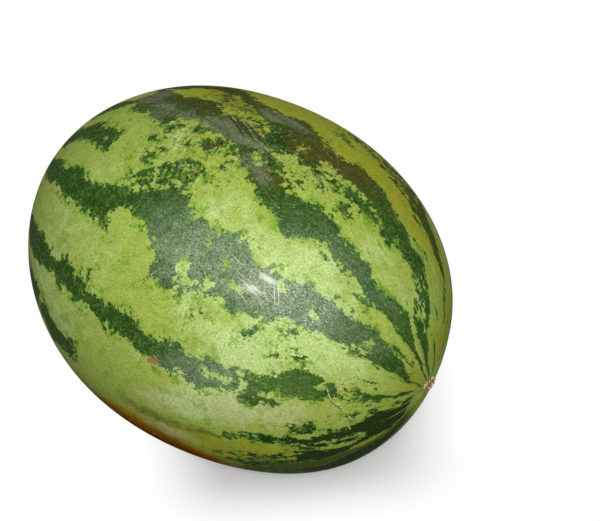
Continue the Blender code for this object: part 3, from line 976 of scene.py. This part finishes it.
def rind_material(sizes):
    """Waxy rind: light ground with fine veins, dark broken stripes, bloom that is partly a painted
    reflection, freckles and cork, and a painted highlight with glitter at the front middle.
    """
    r = Recipe("watermelon_rind")
    place, flow = r.place(), r.attribute("flow", "Vector")
    deep = pattern_depth(r, place, flow, sizes)
    thin = r.step(deep, -0.3, 0.3)
    full = r.step(deep + r.noise(flow, 0.004, 4.0, 0.68, 9), 0.9, 1.8)
    weather = r.patch("weather", place, 0.01, 0.8)
    light = r.step(r.noise(flow, 0.0046, 6.0, 0.74), 0.52, 0.6) * weather
    dark = r.step(r.noise(place, 0.0036, 6.0, 0.74), 0.46, 0.4) * weather
    strokes = r.step(r.noise(r.long(flow, 0.16), 0.003, 5.0, 0.72), 0.42, 0.58)
    rib = r.step(r.attribute("rib") + r.noise(place, 0.002, 3.0, 0.6, 0.5), 0.3, 0.6)
    skin = r.coats(
        r.mix(thin, ground_colour(r, place, flow, deep, sizes), stripe_colour(r, place, flow, full)),
        (r.freckles(place, 0.009, r.attribute("mottle") * 0.5 + 0.03, 0.16) * 0.8, "stripe"),
        (r.freckles(place, 0.0036, r.attribute("rust") * 0.55 + 0.02, 0.18) * 0.7, "rust"),
        (light * 0.4, r.mix(thin, "cream", "bloom")),
        (dark * 0.62, "crease"),
        (r.freckles(place, 0.0034, 0.06, 0.1) * thin * 0.5, "fleck"),
        # Grey bloom on the upper side, partly painted reflection.
        (r.patch("bloom", flow, 0.008, 1.4, 0.3, 0.8) * (strokes * 0.55 + 0.35), "bloom"),
        (rib * 0.75, "rib"),
    )

    grain = (r.noise(r.long(flow, 0.7), 0.0009, 2.0, 0.8) - 0.5) * r.step(thin, 0, 1, 1.7, 3.9)
    coarse = (r.noise(place, 0.0045, 3.0, 0.65) - 0.5) * 0.35
    glints = r.step(r.noise(r.long(flow, 0.5), 0.0007, 3.0, 0.7), 0.55, 0.63)
    # Streaks of the painted highlight.
    highlight_streaks = r.step(r.noise(r.long(flow, 0.22), 0.0006, 2.0, 0.6), 0.36, 0.52)
    scab = r.attribute("scab") + r.noise(place, 0.002, 2.0, 0.5, 1.2)
    knobs = r.step(r.noise(place, 0.0016, 3.0, 0.6), 0.4, 0.6)
    corky = r.mix(knobs, "cork", "cork_dark")
    cork = r.step(r.attribute("cork") + r.noise(place, 0.002, 3.0, 0.6, 0.5), 0.42, 0.58)
    skin = r.coats(
        r.tone(skin, grain + coarse + 1.0),
        # Painted highlight: glitter of whitish flecks where the key light is mirrored.
        (glints * r.patch("sheen", place, 0.006, 0.9, 0.2, 0.9) * 0.8, "fleck"),
        # Painted highlight: near white streaks where the key light is mirrored in the wax.
        (r.patch("painted_highlight", r.long(flow, 0.4), 0.002, 1.2, 0.2, 0.9) * highlight_streaks, "glint"),
        (r.step(scab, 0.0, 0.5) * 0.9, "scab"),
        (cork, r.mix(r.attribute("hollow"), corky, "cork_dark")),
    )
    grit = r.node("Bump", 0.5, 0.0002, Height=r.noise(place, sizes.grit_size))
    r.shine(
        base_color=skin, roughness=r.step(cork, 0, 1, 0.45, 0.9), specular_ior_level=0.0, normal=grit,
        coat_weight=r.step(r.attribute("belly"), 0.1, 0.7, 0.04, 0.0), coat_roughness=0.2,
    )
    return r.made


def cork_material():
    """Dry cork: tan with brown pores and cracks."""
    r = Recipe("stalk_cork")
    place = r.place()
    middle = r.vector("DISTANCE", place, tuple(cork_middle())) + r.noise(place, 0.0015, 3.0, 0.6, 0.003)
    worn = r.coats(
        "cork",
        (r.step(r.noise(place, 0.0016, 4.0, 0.65), 0.48, 0.62), "cork_brown"),
        (r.step(r.noise(place, 0.0009, 3.0, 0.6), 0.54, 0.62) * 0.8, "cork_dark"),
        (r.step(middle, 0.0034, 0.0024) * 0.85, "cork_dark"),
    )
    bump = r.node("Bump", 0.6, 0.0002, Height=r.noise(place, 0.0005, 3.0, 0.6))
    r.shine(base_color=worn, roughness=0.85, specular_ior_level=0.25, normal=bump)
    return r.made


def dry_material(name, pale, dark, blotches, roughness, gloss):
    """Dry strands and healed scratches, patchy along their length."""
    r = Recipe(name)
    size, rough, low, high = blotches
    worn = r.step(r.noise(r.place(), size, 3.0, rough), low, high)
    r.shine(base_color=r.mix(worn, pale, dark), roughness=roughness, specular_ior_level=gloss)
    return r.made


# ---- pieces

def put_in_scene(name, data, material):
    data.materials.append(material)
    piece = bpy.data.objects.new(name, data)
    bpy.context.scene.collection.objects.link(piece)
    return piece


def dress(name, data, material):
    """Puts a piece on the fruit."""
    piece = put_in_scene(name, data, material)
    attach(piece, "root")
    return piece


class WATERMELON_OT_skin(Operator):
    """Add the fruit's skin with its stripes and patches"""

    bl_idname = "watermelon.skin"
    bl_label = "Skin"

    def execute(self, context):
        sizes = context.scene.melon_sizes
        piece = dress("melon_skin", make_skin(sizes), rind_material(sizes))
        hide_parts("watermelon")
        return {"FINISHED"}


class WATERMELON_OT_stalk(Operator):
    """Add the cork and the strands of the torn stalk"""

    bl_idname = "watermelon.stalk"
    bl_label = "Torn Stalk"

    def execute(self, context):
        straw = dry_material("stalk_fibre", "fibre", "cork_brown", STRAW_BLOTCHES, 0.8, 0.25)
        dress("stalk_cork", make_scar(), cork_material())
        dress("stalk_fibres", make_fibres(), straw)
        return {"FINISHED"}


class WATERMELON_OT_scratches(Operator):
    """Add the healed scratches, the scratches in the wax with their painted highlight, and the creases of the
    skin
    """

    bl_idname = "watermelon.scratches"
    bl_label = "Scratches"

    def execute(self, context):
        for name, scratches, pale, dark, roughness in (
            ("cork_scratches", CORK_SCRATCHES, "scar_pale", "scar_dark", 0.8),
            ("creases", CREASES, "crease", "moss", 0.8),
            # Scratches in the wax, near white as painted highlight.
            ("wax_scratch_highlights", WAX_SCRATCH_HIGHLIGHTS, "glint", "fleck", 0.35),
        ):
            worn = dry_material(name, pale, dark, SCAR_BLOTCHES, roughness, 0.3)
            dress(name, make_scratches(name, scratches, context.scene.melon_sizes), worn)
        return {"FINISHED"}


# ---- stage

def toward(azimuth, elevation):
    """The direction from the fruit at this azimuth (0 is -Y, 90 is +X) and elevation."""
    flat = math.cos(math.radians(elevation))
    turn = math.radians(azimuth)
    return Vector((math.sin(turn) * flat, -math.cos(turn) * flat, math.sin(math.radians(elevation))))


def hang(data, step, angles):
    """Puts a lamp or camera this step from the middle of the fruit."""
    holder = bpy.data.objects.new(data.name, data)
    holder.location = FRUIT_MIDDLE + step
    holder.rotation_euler = angles
    bpy.context.scene.collection.objects.link(holder)
    return holder


def softbox(name, azimuth, elevation, distance, size, watts):
    """A square lamp that looks at the middle of the fruit."""
    lamp = bpy.data.lights.new(name, "AREA")
    lamp.size = size
    lamp.energy = watts
    way = toward(azimuth, elevation)
    hang(lamp, way * distance, way.to_track_quat("Z", "Y").to_euler())


def plain_sight(r):
    """1 where the ground is seen, directly, mirrored or through glass, and 0 where it lights the fruit."""
    direct, mirrored, through = (
        r.node("LightPath", out=f"Is {kind} Ray") for kind in ("Camera", "Glossy", "Transmission")
    )
    return r.maths("MAXIMUM", r.maths("MAXIMUM", direct, mirrored), through)


def past_line(r, way, middle, near, reach):
    """How far the floor lies past the strip about a line across this way, in reaches."""
    aside = r.maths("ABSOLUTE", r.vector("DOT_PRODUCT", r.place(), way) - middle) - near
    return r.maths("MAXIMUM", aside, 0.0) * (1 / reach)


def floor_material():
    """Pale paper that the camera sees as white, with the fruit's shadow on it."""
    r = Recipe("paper")
    r.shine(base_color=(0.16, 0.16, 0.16), roughness=0.9, specular_ior_level=0.2)
    paper = Value(r, r.tree.nodes["Principled BSDF"].outputs[0])
    lit = r.node("AddShader", r.node("Emission", WHITE, 0.05), r.node("BsdfDiffuse", (1.05, 1.05, 1.05)))
    aside = r.node("CombineXYZ", *(past_line(r, *strip) for strip in SHADOW_STRIPS))
    far = r.step(r.vector("LENGTH", aside), 0.0, 1.0)
    seen = r.node("MixShader", far, lit, r.node("Emission", WHITE, 1.0))
    choose = r.node("MixShader", plain_sight(r), paper, seen)
    r.fill(r.tree.nodes["Material Output"].inputs["Surface"], choose)
    return r.made


def add_floor():
    mesh = bmesh.new()
    bmesh.ops.create_grid(mesh, x_segments=1, y_segments=1, size=4.0)
    floor = put_in_scene("floor", to_data(mesh, "floor"), floor_material())


def set_world(level):
    """Even light from all round, which the camera sees as white."""
    r = Recipe("studio", "worlds")
    bpy.context.scene.world = r.made
    sockets = r.tree.nodes["Background"].inputs
    r.fill(sockets["Strength"], r.node("Mix", plain_sight(r), level, 1.0))
    r.fill(sockets["Color"], WHITE)


def add_camera(studio):
    lens = bpy.data.cameras.new("camera")
    lens.lens = studio.lens
    lens.sensor_width = 36.0
    angles = (math.radians(90 - studio.aim_elevation), 0.0, math.radians(studio.aim_azimuth))
    step = toward(studio.azimuth, studio.elevation) * studio.distance
    bpy.context.scene.camera = hang(lens, step, angles)


class WATERMELON_OT_stage(Operator):
    """Add the floor, the lamps, the world and the camera"""

    bl_idname = "watermelon.stage"
    bl_label = "Stage"

    def execute(self, context):
        studio = context.scene.melon_studio
        add_floor()
        softbox("key", studio.azimuth, studio.elevation, distance=0.95, size=0.14, watts=studio.key_power)
        softbox("top", 39, 69, distance=1.2, size=0.6, watts=studio.top_power)
        softbox("back", -140, 16, distance=1.1, size=0.6, watts=studio.back_power)
        set_world(studio.world_level)
        add_camera(studio)
        return {"FINISHED"}


# ---- add-on

class WATERMELON_PT_sidebar(Panel):
    """The steps, in order"""

    bl_idname = "WATERMELON_PT_sidebar"
    bl_label = "Striped Watermelon"
    bl_space_type = "VIEW_3D"
    bl_region_type = "UI"
    bl_category = "Watermelon"

    def draw(self, context):
        for step in STEPS:
            self.layout.operator(step.bl_idname)


STEPS = (WATERMELON_OT_skin, WATERMELON_OT_stalk, WATERMELON_OT_scratches, WATERMELON_OT_stage)
GROUPS = {"melon_sizes": MelonSizes, "melon_colours": MelonColours, "melon_studio": StudioSettings}
CLASSES = (*GROUPS.values(), *STEPS, WATERMELON_PT_sidebar)


def register():
    for kind in CLASSES:
        bpy.utils.register_class(kind)
    for name, group in GROUPS.items():
        setattr(bpy.types.Scene, name, PointerProperty(type=group))


def unregister():
    for name in GROUPS:
        delattr(bpy.types.Scene, name)
    for kind in reversed(CLASSES):
        bpy.utils.unregister_class(kind)


def main():
    register()
    bpy.context.scene.view_settings.view_transform = "Standard"
    bpy.ops.watermelon.skin()
    bpy.ops.watermelon.stalk()
    bpy.ops.watermelon.scratches()
    bpy.ops.watermelon.stage()


if __name__ == "__main__":
    main()
